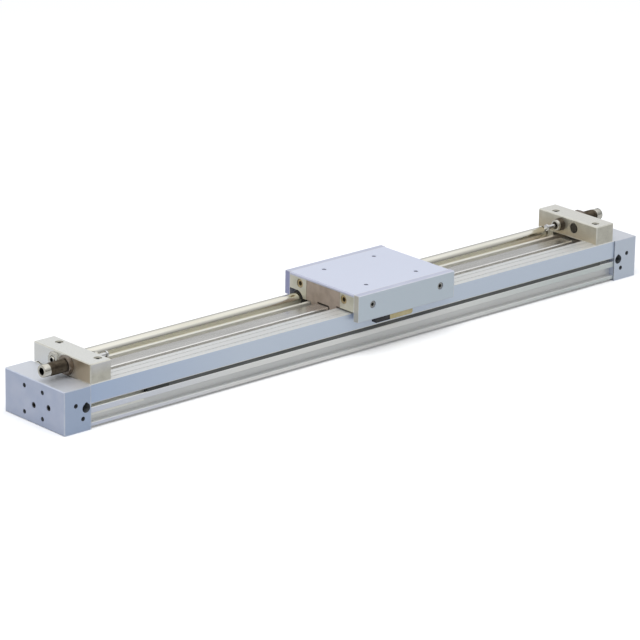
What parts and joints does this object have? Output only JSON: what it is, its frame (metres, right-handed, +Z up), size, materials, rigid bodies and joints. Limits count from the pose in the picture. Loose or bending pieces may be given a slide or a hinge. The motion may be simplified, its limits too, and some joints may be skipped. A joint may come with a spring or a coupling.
{
  "type": "rodless pneumatic cylinder",
  "caption": "Magnetically coupled rodless air cylinder: a slide table on a linear guide rides along an extruded frame between end plates with shock absorbers.",
  "frame": {"origin": "centre of the footprint, on the plane of the end plates' feet", "axes": "+X along the stroke towards the far end plate of the picture, +Y to the tube side, +Z up"},
  "size_m": [0.7, 0.1, 0.0585],
  "materials": {
    "frame_anodised": "satin anodised",
    "plate_anodised": "satin anodised",
    "table_anodised": "satin anodised",
    "slot_black": "matte",
    "rail_steel": "ground",
    "tube_steel": "polished",
    "screw_dark": "black oxide",
    "screw_yellow": "yellow plated",
    "pad_coated": "satin",
    "holder_nickel": "nickel plated",
    "plated_steel": "plated",
    "rod_chrome": "polished",
    "absorber_dark": "black oxide",
    "bumper_rubber": "matte",
    "block_plastic": "matte",
    "slider_alloy": "machined",
    "magnet_dark": "matte",
    "bracket_yellow": "yellow plated"
  },
  "bodies": {
    "frame": {"frame_extrusion": "frame_anodised", "slot_strip": "slot_black", "guide_rail": "rail_steel", "rail_screws": "screw_dark", "rail_caps": "rail_steel", "cylinder_tube": "tube_steel", "tube_seals": "bumper_rubber", "end_plate_left": "plate_anodised", "plate_screws_left": "screw_dark", "passage_plug_left": "screw_dark", "tube_plug_left": "slider_alloy", "stop_holder_left": "holder_nickel", "holder_screws_left": "screw_dark", "absorber_nut_left": "plated_steel", "bolt_nut_left": "plated_steel", "end_plate_right": "plate_anodised", "plate_screws_right": "screw_dark", "passage_plug_right": "screw_dark", "tube_plug_right": "slider_alloy", "stop_holder_right": "holder_nickel", "holder_screws_right": "screw_dark", "absorber_nut_right": "plated_steel", "bolt_nut_right": "plated_steel"},
    "table": {"slide_table": "table_anodised", "side_plate_front": "table_anodised", "side_plate_back": "table_anodised", "side_screws_front": "screw_dark", "side_screws_back": "screw_dark", "guide_block": "rail_steel", "block_screws": "screw_dark", "magnet_slider": "slider_alloy", "drive_pins": "plated_steel", "outer_magnets": "magnet_dark", "outer_yokes": "plated_steel", "wear_rings": "block_plastic", "tube_scrapers": "bumper_rubber", "sensor_magnet": "magnet_dark", "magnet_bracket": "bracket_yellow", "end_cap_left": "holder_nickel", "cap_screws_left": "screw_yellow", "strike_pads_left": "pad_coated", "block_end_left": "block_plastic", "end_cap_right": "holder_nickel", "cap_screws_right": "screw_yellow", "strike_pads_right": "pad_coated", "block_end_right": "block_plastic"},
    "piston": {"piston_shaft": "plated_steel", "inner_magnets": "magnet_dark", "inner_yokes": "plated_steel", "pistons": "slider_alloy", "piston_seals": "bumper_rubber", "piston_bumpers": "bumper_rubber"},
    "absorber_left": {"shock_absorber_left": "absorber_dark"},
    "rod_left": {"absorber_rod_left": "rod_chrome"},
    "stop_left": {"stop_bolt_left": "plated_steel", "stop_bumper_left": "bumper_rubber"},
    "absorber_right": {"shock_absorber_right": "absorber_dark"},
    "rod_right": {"absorber_rod_right": "rod_chrome"},
    "stop_right": {"stop_bolt_right": "plated_steel", "stop_bumper_right": "bumper_rubber"}
  },
  "joints": [
    {"name": "table_slide", "type": "slide", "parent": "frame", "child": "table", "axis": [1, 0, 0], "range_m": [-0.2567, 0.1777]},
    {"name": "piston_slide", "type": "slide", "parent": "frame", "child": "piston", "axis": [1, 0, 0], "range_m": [-0.2567, 0.1777]},
    {"name": "absorber_left_adjust", "type": "slide", "parent": "frame", "child": "absorber_left", "axis": [1, 0, 0], "range_m": [-0.005, 0]},
    {"name": "absorber_left_rod", "type": "slide", "parent": "absorber_left", "child": "rod_left", "axis": [1, 0, 0], "range_m": [-0.012, 0], "stiffness_N_per_m": 400, "springref_m": 0.006},
    {"name": "stop_left_adjust", "type": "slide", "parent": "frame", "child": "stop_left", "axis": [1, 0, 0], "range_m": [-0.0005, 0.003]},
    {"name": "absorber_right_adjust", "type": "slide", "parent": "frame", "child": "absorber_right", "axis": [1, 0, 0], "range_m": [0, 0.005]},
    {"name": "absorber_right_rod", "type": "slide", "parent": "absorber_right", "child": "rod_right", "axis": [1, 0, 0], "range_m": [0, 0.012], "stiffness_N_per_m": 400, "springref_m": -0.006},
    {"name": "stop_right_adjust", "type": "slide", "parent": "frame", "child": "stop_right", "axis": [1, 0, 0], "range_m": [-0.003, 0.0005]}
  ],
  "couplings": [
    {"joint": "piston_slide", "follows": "table_slide", "ratio": 1}
  ]
}
